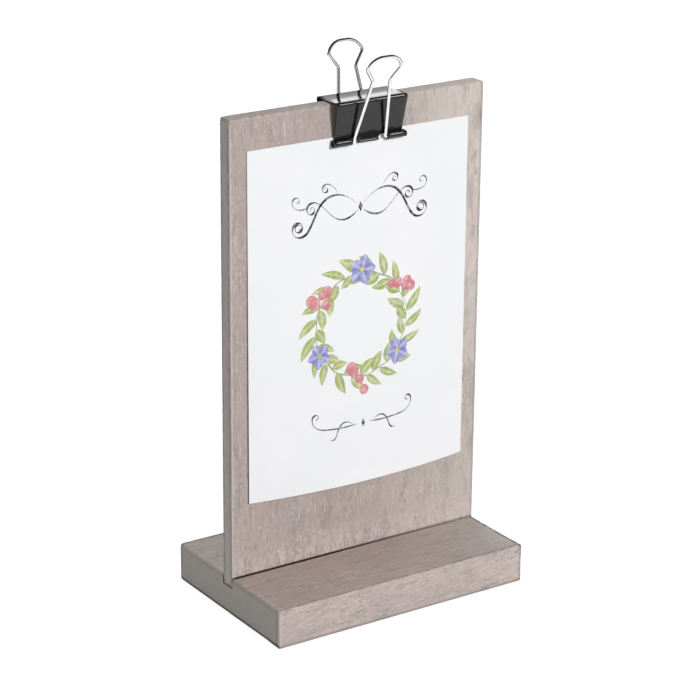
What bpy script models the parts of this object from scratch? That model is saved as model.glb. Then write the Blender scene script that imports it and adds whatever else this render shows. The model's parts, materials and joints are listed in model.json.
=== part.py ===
"""A wooden sign stand with a spring clip that holds a printed card.

A board stands in a groove across a wooden base, held from below by two wood screws.
A sheet-steel spring clip with two wire handles grips the board's top edge and the card.
The frame has +Z up, -Y towards the reader, and its origin under the middle of the base.
"""

import math

import bmesh
import bpy
from mathutils import Vector

MM = 0.001

# Wooden base and board
BASE_LENGTH = 146.0 * MM
BASE_DEPTH = 95.0 * MM
BASE_HEIGHT = 20.5 * MM
BASE_EDGE_RADIUS = 1.6 * MM
BOARD_THICKNESS = 8.5 * MM
BOARD_RISE = 232.5 * MM  # from the base's top face to the board's top edge
BOARD_EDGE_RADIUS = 0.7 * MM
BOARD_CORNER_RADIUS = 1.5 * MM
GROOVE_DEPTH = 5.5 * MM
GROOVE_CLEARANCE = 0.5 * MM  # on each side of the board
SEAT_GAP = 0.25 * MM  # between two pieces that rest on each other

# Countersunk wood screws, driven up through the base into the board's lower edge
SCREW_SPACING = 90.0 * MM
SCREW_LENGTH = 30.0 * MM
SCREW_HEAD_DIAMETER = 7.0 * MM
SCREW_SHANK_DIAMETER = 2.6 * MM
SCREW_THREAD_DIAMETER = 3.5 * MM
SCREW_THREAD_PITCH = 1.6 * MM
SCREW_THREAD_LENGTH = 18.0 * MM
SCREW_TIP_LENGTH = 3.0 * MM
SCREW_HEAD_RECESS = 0.6 * MM  # from the base's underside to the head's face
DRIVER_SLOT_WIDTH = 0.9 * MM
DRIVER_SLOT_LENGTH = 3.8 * MM
DRIVER_SLOT_DEPTH = 1.2 * MM

# Printed card, clamped at its top edge and bowed away from the board lower down
CARD_WIDTH = 127.0 * MM
CARD_HEIGHT = 177.8 * MM
CARD_THICKNESS = 0.3 * MM
CARD_DROP = 16.2 * MM  # from the board's top edge to the card's
CARD_CLAMPED = 6.0 * MM  # flat strip under the jaw
CARD_BOW = 6.0 * MM  # at the middle of the lower edge, past the corners
CARD_EDGE_LIFT = 0.5 * MM  # at the lower corners
CARD_BOW_POWER = 1.4

# Spring clip: a spine on the board's top edge, and a jaw down each face
CLIP_OFFSET = 3.8 * MM  # along the board, from its middle
CLIP_WIDTH = 42.0 * MM  # over the ends of the knuckles
CLIP_SPINE_WIDTH = 40.2 * MM
CLIP_WAIST_WIDTH = 38.6 * MM  # where a jaw's plate meets its knuckles
CLIP_SPINE_DEPTH = 18.5 * MM
CLIP_JAW_DROP = 18.9 * MM  # from the bends down to the knuckles
SHEET_THICKNESS = 0.55 * MM
BEND_RADIUS = 1.1 * MM  # inside the sheet
SPINE_TILT = math.radians(8)  # slope of the spine's two ends, which dip to its middle
BEND_SPLIT_ANGLE = math.radians(24)  # left free in each bend for the jaw's swing
BEND_SPINE_ANGLE = math.radians(38)  # of each bend that belongs to the spine
KNUCKLE_CLEARANCE = 0.2 * MM
KNUCKLE_LENGTH = 10.7 * MM
KNUCKLE_CURL = math.radians(290)
LIP_SETBACK = 0.5 * MM  # the lip between the knuckles stops this far before their lowest line
NOTCH_WIDTH = 4.1 * MM
NOTCH_INSET = 0.2 * MM  # from the knuckle's end to the notch

# Wire handles, measured along the wire's middle
WIRE_DIAMETER = 1.7 * MM
HANDLE_FOOT_SHORT = 1.0 * MM  # the foot ends this far inside its knuckle
HANDLE_ANKLE_GAP = 0.25 * MM  # between the leg and the knuckle's end
HANDLE_NECK_WIDTH = 9.8 * MM
HANDLE_NECK_HEIGHT = 32.3 * MM
HANDLE_LOOP_WIDTH = 20.0 * MM
HANDLE_LOOP_HEIGHT = 39.6 * MM
HANDLE_CROWN_WIDTH = 12.4 * MM
HANDLE_HEIGHT = 45.0 * MM
ANKLE_BEND = 1.3 * MM
NECK_BEND = 2.0 * MM
SHOULDER_BEND = 2.2 * MM
CROWN_BEND = 8.5 * MM
FRONT_HANDLE_SLACK = math.radians(5.6)  # lean past the angle where the wire meets the bend
REAR_HANDLE_SLACK = math.radians(0.6)

# Fineness of round shapes
ARC_STEP = math.radians(15)
FILLET_POINTS = 5
EDGE_SEGMENTS = 2
CORNER_SEGMENTS = 4
ROUND_PROFILE = 0.5
TURNED_STEPS = 16
SPINE_STEPS = 4
CARD_COLUMNS = 8
CARD_ROWS = 12
CUTTER_OVERSHOOT = 5.0 * MM
AXIS_MERGE = 0.01 * MM

# Levels and places that follow from the sizes above
BOARD_TOP = BASE_HEIGHT + BOARD_RISE
BOARD_BOTTOM = BASE_HEIGHT - GROOVE_DEPTH + SEAT_GAP
BOARD_FACE = BOARD_THICKNESS / 2
CARD_FACE = BOARD_FACE + SEAT_GAP + CARD_THICKNESS  # the card's front where it is clamped
JAW_FRONT = CARD_FACE + SEAT_GAP  # where the front jaw would touch the card
JAW_REAR = BOARD_FACE + SEAT_GAP
CLIP_MIDDLE = (JAW_REAR - JAW_FRONT) / 2  # the clip is centred on what it grips
JAW_REACH = (JAW_REAR + JAW_FRONT) / 2

WIRE_RADIUS = WIRE_DIAMETER / 2
BEND_LINE = BEND_RADIUS + SHEET_THICKNESS / 2  # to the middle of the sheet
BEND_OUTSIDE = BEND_RADIUS + SHEET_THICKNESS
KNUCKLE_BORE = WIRE_RADIUS + KNUCKLE_CLEARANCE
KNUCKLE_LINE = KNUCKLE_BORE + SHEET_THICKNESS / 2
KNUCKLE_OUTSIDE = KNUCKLE_BORE + SHEET_THICKNESS
BEND_OUT = CLIP_SPINE_DEPTH / 2 - BEND_OUTSIDE  # bend axis, out from the clip's middle
SPINE_LEVEL = BOARD_TOP + SEAT_GAP + SHEET_THICKNESS / 2  # sheet's middle, where the spine is lowest
SPINE_REACH = BEND_OUT - BEND_LINE * math.sin(SPINE_TILT)  # from the spine's middle to its bend
SPINE_RISE = SPINE_REACH * math.tan(SPINE_TILT) / 2
BEND_LEVEL = SPINE_LEVEL + SPINE_RISE - BEND_LINE * math.cos(SPINE_TILT)

# Knuckle axis as seen from the bend axis: out is away from the board
KNUCKLE_OUT = JAW_REACH + KNUCKLE_OUTSIDE - BEND_OUT
KNUCKLE_DOWN = CLIP_JAW_DROP
JAW_SPAN = math.hypot(KNUCKLE_OUT, KNUCKLE_DOWN)
JAW_PLATE_LENGTH = math.sqrt(JAW_SPAN**2 - (BEND_LINE + KNUCKLE_LINE) ** 2)
KNUCKLE_ANGLE = math.atan2(KNUCKLE_OUT, KNUCKLE_DOWN)
JAW_LEAN = math.atan2(BEND_LINE + KNUCKLE_LINE, JAW_PLATE_LENGTH) - KNUCKLE_ANGLE
HANDLE_STOP = math.asin((BEND_OUTSIDE + WIRE_RADIUS + SEAT_GAP) / JAW_SPAN) - KNUCKLE_ANGLE
KNUCKLE_INNER_END = CLIP_WIDTH / 2 - KNUCKLE_LENGTH
KNUCKLE_TOP = -KNUCKLE_DOWN + KNUCKLE_OUTSIDE + SEAT_GAP  # just clear of the curl
HANDLE_ANKLE = KNUCKLE_INNER_END - HANDLE_ANKLE_GAP - WIRE_RADIUS

PART_COLLECTION = "clip_sign_holder"
CUTTER_COLLECTION = "cutters"


def clear_scene():
    for old in list(bpy.data.objects):
        bpy.data.objects.remove(old)
    for name in (PART_COLLECTION, CUTTER_COLLECTION):
        collection = bpy.data.collections.new(name)
        bpy.context.scene.collection.children.link(collection)


def add_object(name, data, collection=PART_COLLECTION, material=None):
    made = bpy.data.objects.new(name, data)
    bpy.data.collections[collection].objects.link(made)
    if material and not data.materials:
        data.materials.append(material)
    return made


def make_material(name, colour, roughness, metallic=0.0):
    material = bpy.data.materials.new(name)
    material.use_nodes = True
    shader = material.node_tree.nodes["Principled BSDF"]
    shader.inputs["Base Color"].default_value = (*colour, 1.0)
    shader.inputs["Roughness"].default_value = roughness
    shader.inputs["Metallic"].default_value = metallic
    return material


def box_mesh(name, size, centre):
    block = bmesh.new()
    bmesh.ops.create_cube(block, size=1.0)
    bmesh.ops.scale(block, vec=Vector(size), verts=block.verts)
    bmesh.ops.translate(block, vec=Vector(centre), verts=block.verts)
    mesh = bpy.data.meshes.new(name)
    block.to_mesh(mesh)
    block.free()
    return mesh


def as_cutter(cutter):
    cutter.hide_render = True
    cutter.display_type = "WIRE"
    return cutter


def box_cutter(name, size, centre):
    return as_cutter(add_object(name, box_mesh(name, size, centre), CUTTER_COLLECTION))


def cut(target, cutter):
    modifier = target.modifiers.new(cutter.name, "BOOLEAN")
    modifier.operation = "DIFFERENCE"
    modifier.object = cutter


def ease_edges(target, radius):
    bevel = target.modifiers.new("eased_edges", "BEVEL")
    bevel.width = radius
    bevel.segments = EDGE_SEGMENTS
    bevel.limit_method = "ANGLE"


def turned(name, profile, collection, material=None):
    """A solid of revolution about Z from (radius, height) points, listed from its top down."""
    outline = bmesh.new()
    corners = [outline.verts.new((radius, 0.0, height)) for radius, height in profile]
    for upper, lower in zip(corners, corners[1:]):
        outline.edges.new((upper, lower))
    mesh = bpy.data.meshes.new(name)
    outline.to_mesh(mesh)
    outline.free()
    made = add_object(name, mesh, collection, material)
    spin = made.modifiers.new("turned", "SCREW")
    spin.steps = spin.render_steps = TURNED_STEPS
    spin.use_merge_vertices = True
    spin.merge_threshold = AXIS_MERGE
    return made


def arc_points(centre, radius, start, end):
    """Points along an arc in a plane, from one angle to another, in steps no wider than ARC_STEP."""
    steps = max(2, math.ceil(abs(end - start) / ARC_STEP))
    angles = [start + (end - start) * step / steps for step in range(steps + 1)]
    return [(centre[0] + radius * math.cos(a), centre[1] + radius * math.sin(a)) for a in angles]


def filleted(corners):
    """A path through (point, bend radius) corners, each rounded by an arc that meets both straights."""
    path = [Vector(corners[0][0])]
    for (before, _), (point, radius), (after, _) in zip(corners, corners[1:], corners[2:]):
        corner = Vector(point)
        back = (Vector(before) - corner).normalized()
        ahead = (Vector(after) - corner).normalized()
        half_turn = (math.pi - back.angle(ahead)) / 2
        start = corner + back * radius * math.tan(half_turn)
        end = corner + ahead * radius * math.tan(half_turn)
        centre = corner + (back + ahead).normalized() * radius / math.cos(half_turn)
        for step in range(FILLET_POINTS + 1):
            blend = step / FILLET_POINTS
            direction = (start - centre).slerp(end - centre, blend).normalized()
            path.append(centre + direction * radius)
    path.append(Vector(corners[-1][0]))
    return path


def bent_sheet(name, path, width, material):
    """Sheet metal that follows a path of (out, up) points, the same all across its width."""
    surface = bmesh.new()
    rows = [[surface.verts.new((side * width / 2, out, up)) for side in (-1, 1)] for out, up in path]
    for (left, right), (next_left, next_right) in zip(rows, rows[1:]):
        surface.faces.new((left, right, next_right, next_left))
    mesh = bpy.data.meshes.new(name)
    surface.to_mesh(mesh)
    surface.free()
    mesh.shade_smooth()
    made = add_object(name, mesh, material=material)
    sheet = made.modifiers.new("sheet", "SOLIDIFY")
    sheet.thickness = SHEET_THICKNESS
    sheet.offset = 0.0
    sheet.use_even_offset = True
    return made


def make_base(wood, screw_places):
    base = add_object(
        "base_block",
        box_mesh("base_block", (BASE_LENGTH, BASE_DEPTH, BASE_HEIGHT), (0, 0, BASE_HEIGHT / 2)),
        material=wood,
    )
    ease_edges(base, BASE_EDGE_RADIUS)
    groove_floor = BASE_HEIGHT - GROOVE_DEPTH
    groove_size = (
        BASE_LENGTH + 2 * CUTTER_OVERSHOOT,
        BOARD_THICKNESS + 2 * GROOVE_CLEARANCE,
        GROOVE_DEPTH + CUTTER_OVERSHOOT,
    )
    cut(base, box_cutter("groove_cutter", groove_size, (0, 0, groove_floor + groove_size[2] / 2)))
    for side, place in screw_places.items():
        cut(base, screw_hole_cutter(f"base_hole_cutter_{side}", place))
    return base


def make_board(wood, screw_places):
    height = BOARD_TOP - BOARD_BOTTOM
    mesh = box_mesh(
        "upright_board",
        (BASE_LENGTH, BOARD_THICKNESS, height),
        (0, 0, BOARD_BOTTOM + height / 2),
    )
    shape = bmesh.new()
    shape.from_mesh(mesh)
    top_corners = [
        edge
        for edge in shape.edges
        if all(abs(vert.co.z - BOARD_TOP) < AXIS_MERGE for vert in edge.verts)
        and abs(edge.verts[0].co.y - edge.verts[1].co.y) > AXIS_MERGE
    ]
    bmesh.ops.bevel(
        shape,
        geom=top_corners,
        offset=BOARD_CORNER_RADIUS,
        segments=CORNER_SEGMENTS,
        profile=ROUND_PROFILE,
        affect="EDGES",
    )
    shape.to_mesh(mesh)
    shape.free()
    board = add_object("upright_board", mesh, material=wood)
    ease_edges(board, BOARD_EDGE_RADIUS)
    for side, place in screw_places.items():
        cut(board, pilot_hole_cutter(f"pilot_hole_cutter_{side}", place))
    return board


def screw_profile():
    """(radius, height) points of a wood screw that stands on its head, from its point down."""
    shank = SCREW_SHANK_DIAMETER / 2
    crest = SCREW_THREAD_DIAMETER / 2
    head = SCREW_HEAD_DIAMETER / 2
    points = [(0.0, SCREW_LENGTH)]
    turns = round((SCREW_THREAD_LENGTH - SCREW_TIP_LENGTH) / SCREW_THREAD_PITCH)
    for turn in range(turns):
        root_height = SCREW_LENGTH - SCREW_TIP_LENGTH - turn * SCREW_THREAD_PITCH
        points.append((shank, root_height))
        points.append((crest, root_height - SCREW_THREAD_PITCH / 2))
    points.append((shank, root_height - SCREW_THREAD_PITCH))
    points.append((shank, head - shank))
    points.append((head, 0.0))
    points.append((0.0, 0.0))
    return points


def make_screw(name, place, steel):
    screw = turned(name, screw_profile(), PART_COLLECTION, steel)
    screw.location = (*place, SCREW_HEAD_RECESS)
    for turn in range(2):
        slot = box_cutter(
            f"{name}_driver_slot_{turn}",
            (DRIVER_SLOT_LENGTH, DRIVER_SLOT_WIDTH, 2 * DRIVER_SLOT_DEPTH),
            (0, 0, 0),
        )
        slot.location = screw.location
        slot.rotation_euler = (0, 0, turn * math.pi / 2)
        cut(screw, slot)
    return screw


def screw_hole_cutter(name, place):
    """Clearance hole through the base, with a countersink that follows the screw's head."""
    bore = SCREW_THREAD_DIAMETER / 2 + SEAT_GAP
    head = SCREW_HEAD_DIAMETER / 2 + SEAT_GAP
    profile = [
        (0.0, BASE_HEIGHT),
        (bore, BASE_HEIGHT),
        (bore, SCREW_HEAD_RECESS + SEAT_GAP + head - bore),
        (head, SCREW_HEAD_RECESS + SEAT_GAP),
        (head, -CUTTER_OVERSHOOT),
        (0.0, -CUTTER_OVERSHOOT),
    ]
    cutter = as_cutter(turned(name, profile, CUTTER_COLLECTION))
    cutter.location = (*place, 0)
    return cutter


def pilot_hole_cutter(name, place):
    """Blind hole up into the board's lower edge, clear of the thread and of the point."""
    bore = SCREW_THREAD_DIAMETER / 2 + SEAT_GAP
    top = SCREW_HEAD_RECESS + SCREW_LENGTH + SEAT_GAP
    profile = [
        (0.0, top),
        (bore, top),
        (bore, BOARD_BOTTOM - CUTTER_OVERSHOOT),
        (0.0, BOARD_BOTTOM - CUTTER_OVERSHOOT),
    ]
    cutter = as_cutter(turned(name, profile, CUTTER_COLLECTION))
    cutter.location = (*place, 0)
    return cutter


def card_bulge(across, down):
    """How far the card stands off its clamped plane, at a place across (-1 to 1) and down it (0 to 1)."""
    middle = CARD_BOW * down**CARD_BOW_POWER * (1 - across**2)
    edge = CARD_EDGE_LIFT * math.sin(down * math.pi / 2)
    return middle + edge


def make_card(paper):
    surface = bmesh.new()
    rows = []
    top = BOARD_TOP - CARD_DROP
    middle_plane = CARD_FACE - CARD_THICKNESS / 2
    for row in range(CARD_ROWS + 1):
        drop = CARD_HEIGHT * row / CARD_ROWS
        down = max(0.0, drop - CARD_CLAMPED) / (CARD_HEIGHT - CARD_CLAMPED)
        across = [-1 + 2 * column / CARD_COLUMNS for column in range(CARD_COLUMNS + 1)]
        rows.append(
            [
                surface.verts.new((a * CARD_WIDTH / 2, -middle_plane - card_bulge(a, down), top - drop))
                for a in across
            ]
        )
    for upper, lower in zip(rows, rows[1:]):
        for column in range(CARD_COLUMNS):
            surface.faces.new((upper[column], lower[column], lower[column + 1], upper[column + 1]))
    mesh = bpy.data.meshes.new("sign_card")
    surface.to_mesh(mesh)
    surface.free()
    mesh.shade_smooth()
    card = add_object("sign_card", mesh, material=paper)
    sheet = card.modifiers.new("sheet", "SOLIDIFY")
    sheet.thickness = CARD_THICKNESS
    sheet.offset = 0.0
    return card


def make_spine(black_steel):
    """The clip's back, which dips to its middle, with the upper part of both bends."""
    upright = math.pi / 2
    bend = arc_points(
        (BEND_OUT, BEND_LEVEL), BEND_LINE, upright + SPINE_TILT, upright - BEND_SPINE_ANGLE
    )
    shares = [step / SPINE_STEPS for step in range(1, SPINE_STEPS)]
    half = [(SPINE_REACH * share, SPINE_LEVEL + SPINE_RISE * share**2) for share in shares] + bend
    path = [(-out, up) for out, up in reversed(half)] + [(0.0, SPINE_LEVEL)] + half
    spine = bent_sheet("clip_spine", path, CLIP_SPINE_WIDTH, black_steel)
    spine.location = (CLIP_OFFSET, CLIP_MIDDLE, 0)
    return spine


def jaw_path():
    """Middle of a jaw's sheet as (out, up) points from the bend axis: bend, plate and curled edge."""
    bend_start = math.pi / 2 - BEND_SPINE_ANGLE - BEND_SPLIT_ANGLE
    bend = arc_points((0, 0), BEND_LINE, bend_start, -JAW_LEAN)
    curl_start = math.pi - JAW_LEAN
    curl = arc_points((KNUCKLE_OUT, -KNUCKLE_DOWN), KNUCKLE_LINE, curl_start, curl_start + KNUCKLE_CURL)
    return bend + curl


def notch_outline(side):
    """Arched notch beside a knuckle, as (across, up) points."""
    middle = side * (KNUCKLE_INNER_END - NOTCH_INSET - NOTCH_WIDTH / 2)
    arch = arc_points((middle, -KNUCKLE_DOWN - LIP_SETBACK), NOTCH_WIDTH / 2, 0, math.pi)
    floor = -KNUCKLE_DOWN - KNUCKLE_OUTSIDE - CUTTER_OVERSHOOT
    return arch + [(arch[-1][0], floor), (arch[0][0], floor)]


def waist_outline(side):
    """Sliver trimmed off a plate's side, so that it narrows from the spine down to the knuckles."""
    top = BEND_OUTSIDE + CUTTER_OVERSHOOT
    far = side * (CLIP_WIDTH / 2 + CUTTER_OVERSHOOT)
    spine_side = side * CLIP_SPINE_WIDTH / 2
    waist_side = side * CLIP_WAIST_WIDTH / 2
    return [(spine_side, top), (spine_side, 0), (waist_side, KNUCKLE_TOP), (far, KNUCKLE_TOP), (far, top)]


def through_cutter(name, outline):
    """Prism over (across, up) points that runs right through a jaw."""
    near = KNUCKLE_OUT - KNUCKLE_OUTSIDE - CUTTER_OVERSHOOT
    far = BEND_OUTSIDE + CUTTER_OVERSHOOT
    prism = bmesh.new()
    face = prism.faces.new([prism.verts.new((across, near, up)) for across, up in outline])
    far_side = bmesh.ops.extrude_face_region(prism, geom=[face])["geom"]
    moved = [item for item in far_side if isinstance(item, bmesh.types.BMVert)]
    bmesh.ops.translate(prism, vec=Vector((0, far - near, 0)), verts=moved)
    bmesh.ops.recalc_face_normals(prism, faces=prism.faces)
    mesh = bpy.data.meshes.new(name)
    prism.to_mesh(mesh)
    prism.free()
    return as_cutter(add_object(name, mesh, CUTTER_COLLECTION))


def jaw_cutters(name):
    """Cutters in the jaw's own frame: the curl between the knuckles, the notches and the waist."""
    lip_edge = KNUCKLE_OUT - LIP_SETBACK
    relief_bottom = -KNUCKLE_DOWN - KNUCKLE_OUTSIDE - CUTTER_OVERSHOOT
    relief_size = (
        2 * KNUCKLE_INNER_END,
        KNUCKLE_OUTSIDE + LIP_SETBACK + CUTTER_OVERSHOOT,
        KNUCKLE_TOP - relief_bottom,
    )
    relief_centre = (0, lip_edge + relief_size[1] / 2, (KNUCKLE_TOP + relief_bottom) / 2)
    cutters = [box_cutter(f"{name}_lip_cutter", relief_size, relief_centre)]
    for side, word in ((-1, "left"), (1, "right")):
        cutters.append(through_cutter(f"{name}_notch_cutter_{word}", notch_outline(side)))
        cutters.append(through_cutter(f"{name}_waist_cutter_{word}", waist_outline(side)))
    return cutters


def make_jaw(name, facing, black_steel):
    """A jaw on its bend axis. It is drawn facing +Y, and turned about Z for the side it is on."""
    jaw = bent_sheet(name, jaw_path(), CLIP_WIDTH, black_steel)
    jaw.location = (CLIP_OFFSET, CLIP_MIDDLE + facing * BEND_OUT, BEND_LEVEL)
    jaw.rotation_euler = (0, 0, 0 if facing > 0 else math.pi)
    for cutter in jaw_cutters(name):
        cutter.location = jaw.location
        cutter.rotation_euler = jaw.rotation_euler
        cut(jaw, cutter)
    return jaw


def handle_path():
    """Middle of the wire in the handle's own plane, from the left foot over the loop to the right."""
    foot = CLIP_WIDTH / 2 - HANDLE_FOOT_SHORT
    half = [
        ((foot, 0, 0), 0.0),
        ((HANDLE_ANKLE, 0, 0), ANKLE_BEND),
        ((HANDLE_NECK_WIDTH / 2, 0, HANDLE_NECK_HEIGHT), NECK_BEND),
        ((HANDLE_LOOP_WIDTH / 2, 0, HANDLE_LOOP_HEIGHT), SHOULDER_BEND),
        ((HANDLE_CROWN_WIDTH / 2, 0, HANDLE_HEIGHT), CROWN_BEND),
    ]
    left = [((-across, out, up), bend) for (across, out, up), bend in half]
    return filleted(left + half[::-1])


def make_handle(name, jaw, slack, wire_steel):
    """A handle whose origin is its knuckle axis, leaning out past the angle where it meets the bend."""
    line = bpy.data.curves.new(name, "CURVE")
    line.dimensions = "3D"
    line.bevel_depth = WIRE_RADIUS
    line.bevel_resolution = 2
    line.use_fill_caps = True
    path = handle_path()
    spline = line.splines.new("POLY")
    spline.points.add(len(path) - 1)
    for point, place in zip(spline.points, path):
        point.co = (*place, 1.0)
    handle = add_object(name, line, material=wire_steel)
    handle.parent = jaw
    handle.location = (0, KNUCKLE_OUT, -KNUCKLE_DOWN)
    handle.rotation_euler = (-(HANDLE_STOP + slack), 0, 0)
    return handle


def main():
    clear_scene()
    base_wood = make_material("base_wood", (0.42, 0.37, 0.34), 0.65)
    board_wood = make_material("board_wood", (0.45, 0.40, 0.36), 0.65)
    screw_steel = make_material("screw_steel", (0.55, 0.53, 0.50), 0.35, 1.0)
    card_paper = make_material("card_paper", (0.86, 0.86, 0.87), 0.75)
    black_steel = make_material("black_steel", (0.02, 0.02, 0.02), 0.25)
    wire_steel = make_material("wire_steel", (0.75, 0.75, 0.76), 0.15, 1.0)

    screw_places = {"left": (-SCREW_SPACING / 2, 0), "right": (SCREW_SPACING / 2, 0)}
    make_base(base_wood, screw_places)
    make_board(board_wood, screw_places)
    for side, place in screw_places.items():
        make_screw(f"base_screw_{side}", place, screw_steel)
    make_card(card_paper)
    make_spine(black_steel)
    front_jaw = make_jaw("clip_front_jaw", -1, black_steel)
    rear_jaw = make_jaw("clip_rear_jaw", 1, black_steel)
    make_handle("clip_front_handle", front_jaw, FRONT_HANDLE_SLACK, wire_steel)
    make_handle("clip_rear_handle", rear_jaw, REAR_HANDLE_SLACK, wire_steel)


main()
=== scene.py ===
import json
import math
import random

import bmesh
import bpy
from mathutils import Matrix, Vector, noise

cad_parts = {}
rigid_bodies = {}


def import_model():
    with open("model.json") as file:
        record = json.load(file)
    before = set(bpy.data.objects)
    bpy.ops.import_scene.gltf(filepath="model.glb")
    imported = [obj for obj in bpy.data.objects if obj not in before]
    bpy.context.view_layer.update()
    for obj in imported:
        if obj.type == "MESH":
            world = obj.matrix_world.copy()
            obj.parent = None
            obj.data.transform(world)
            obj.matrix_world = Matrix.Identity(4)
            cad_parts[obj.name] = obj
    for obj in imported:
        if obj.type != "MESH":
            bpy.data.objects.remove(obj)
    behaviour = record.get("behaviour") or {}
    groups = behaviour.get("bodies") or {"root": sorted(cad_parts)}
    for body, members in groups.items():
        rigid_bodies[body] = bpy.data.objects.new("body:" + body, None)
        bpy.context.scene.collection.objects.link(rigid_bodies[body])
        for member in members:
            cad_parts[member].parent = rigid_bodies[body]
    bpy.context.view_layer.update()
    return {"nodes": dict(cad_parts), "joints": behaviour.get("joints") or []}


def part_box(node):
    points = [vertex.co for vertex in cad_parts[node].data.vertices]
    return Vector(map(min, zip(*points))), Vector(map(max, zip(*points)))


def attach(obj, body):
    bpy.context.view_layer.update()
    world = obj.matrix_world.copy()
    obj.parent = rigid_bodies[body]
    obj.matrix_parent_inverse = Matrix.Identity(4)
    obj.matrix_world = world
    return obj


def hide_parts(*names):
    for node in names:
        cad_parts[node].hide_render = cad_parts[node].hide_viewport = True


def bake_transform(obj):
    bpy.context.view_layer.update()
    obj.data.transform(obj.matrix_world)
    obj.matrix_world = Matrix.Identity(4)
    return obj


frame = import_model()
mm = 0.001
joints = {joint["name"]: joint for joint in frame["joints"]}
print("frame loaded:", len(frame["nodes"]), "nodes")


# small helpers for meshes

def addObject(name, data):
    made = bpy.data.objects.new(name, data)
    bpy.context.scene.collection.objects.link(made)
    return made


def addPiece(name, mesh, material):
    mesh.materials.clear()
    mesh.materials.append(material)
    return addObject(name, mesh)


def smoothed(mesh, sharpDegrees=35):
    mesh.shade_smooth()
    mesh.set_sharp_from_angle(angle=math.radians(sharpDegrees))
    return mesh


def finishMesh(name, shape, sharpDegrees=35):
    bmesh.ops.recalc_face_normals(shape, faces=shape.faces)
    mesh = bpy.data.meshes.new(name)
    shape.to_mesh(mesh)
    shape.free()
    return smoothed(mesh, sharpDegrees)


def joinRows(shape, one, two, closed=False):
    # a strip of faces between two rows of points
    for n in range(len(one) if closed else len(one) - 1):
        m = (n + 1) % len(one)
        shape.faces.new((one[n], one[m], two[m], two[n]))


def cutAway(mesh, cutters):
    # takes the cutters' shapes out of a mesh and gives back a new one
    block = addObject("uncut", mesh)
    tools = [addObject("cutter", cutter) for cutter in cutters]
    for tool in tools:
        step = block.modifiers.new("cut", "BOOLEAN")
        step.operation = "DIFFERENCE"
        step.object = tool
    bpy.context.view_layer.update()
    seen = block.evaluated_get(bpy.context.evaluated_depsgraph_get())
    result = bpy.data.meshes.new_from_object(seen)
    result.name = mesh.name + "Cut"
    for used in [block, *tools]:
        bpy.data.objects.remove(used)
    return smoothed(result)


def prism(name, outline, along, start, end):
    # a closed prism over an outline, pushed along one axis (0 X, 1 Y, 2 Z)
    shape = bmesh.new()
    rings = []
    for place in (start, end):
        points = [list(point) for point in outline]
        for point in points:
            point.insert(along, place)
        rings.append([shape.verts.new(point) for point in points])
    joinRows(shape, *rings, closed=True)
    for ring in rings:
        shape.faces.new(ring)
    return finishMesh(name, shape)


def turned(name, profile, place, steps=40):
    # a solid of revolution about Z from (radius, height) points that start and end on the axis
    shape = bmesh.new()
    rings = []
    for radius, height in profile:
        ring = []
        for n in range(steps if radius else 1):
            angle = 2 * math.pi * n / steps
            spot = (place[0] + radius * math.cos(angle), place[1] + radius * math.sin(angle), height)
            ring.append(shape.verts.new(spot))
        rings.append(ring)
    for one, two in zip(rings, rings[1:]):
        for n in range(steps):
            m = (n + 1) % steps
            corners = [one[n % len(one)], one[m % len(one)], two[m % len(two)], two[n % len(two)]]
            shape.faces.new(list(dict.fromkeys(corners)))
    return finishMesh(name, shape)


def filleted(corners, steps):
    # a path through (point, bend radius) corners, with an arc at each
    path = [Vector(corners[0][0])]
    for (before, _), (point, radius), (after, _) in zip(corners, corners[1:], corners[2:]):
        corner = Vector(point)
        back = (Vector(before) - corner).normalized()
        ahead = (Vector(after) - corner).normalized()
        halfTurn = (math.pi - back.angle(ahead)) / 2
        start = corner + back * radius * math.tan(halfTurn)
        end = corner + ahead * radius * math.tan(halfTurn)
        centre = corner + (back + ahead).normalized() * radius / math.cos(halfTurn)
        for step in range(steps + 1):
            spoke = (start - centre).slerp(end - centre, step / steps).normalized()
            path.append(centre + spoke * radius)
    path.append(Vector(corners[-1][0]))
    return path


# small helpers for finishes

def tint(red, green, blue):
    # a colour read, 0 to 255, as the shader wants it
    parts = [value / 255 for value in (red, green, blue)]
    straight = [part / 12.92 if part <= 0.04045 else ((part + 0.055) / 1.055) ** 2.4 for part in parts]
    return (*straight, 1.0)


def grey(level):
    return (level, level, level, 1.0)


class Nodes:
    # short calls that add nodes to a tree and give back their outputs
    def __init__(self, owner):
        owner.use_nodes = True
        self.tree = owner.node_tree

    def feed(self, node, name, value):
        if isinstance(value, bpy.types.NodeSocket):
            self.tree.links.new(value, node.inputs[name])
        else:
            node.inputs[name].default_value = value

    def add(self, kind, sockets=None, **settings):
        made = self.tree.nodes.new("ShaderNode" + kind)
        for name, value in settings.items():
            setattr(made, name, value)
        for name, value in (sockets or {}).items():
            self.feed(made, name, value)
        return made.outputs

    def calc(self, operation, *values):
        return self.add("Math", dict(enumerate(values)), operation=operation)[0]

    def vector(self, operation, *values):
        return self.add("VectorMath", dict(enumerate(values)), operation=operation)

    def times(self, first, *others):
        for other in others:
            first = self.calc("MULTIPLY", first, other)
        return first

    def most(self, first, *others):
        for other in others:
            first = self.calc("MAXIMUM", first, other)
        return first

    def inverse(self, value):
        return self.calc("SUBTRACT", 1.0, value)

    def between(self, value, start, full):
        # 0 at start, 1 at full, smooth on the way
        ends = {"Value": value, "From Min": start, "From Max": full}
        return self.add("MapRange", ends, interpolation_type="SMOOTHSTEP")[0]

    def ranged(self, value, first, last, start=0.0, end=1.0):
        # first at start, last at end, straight on the way
        ends = {"From Min": start, "From Max": end, "To Min": first, "To Max": last}
        return self.add("MapRange", {"Value": value, **ends})[0]

    def mixed(self, amount, one, two):
        return self.add("Mix", {0: amount, 6: one, 7: two}, data_type="RGBA")[2]


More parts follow.
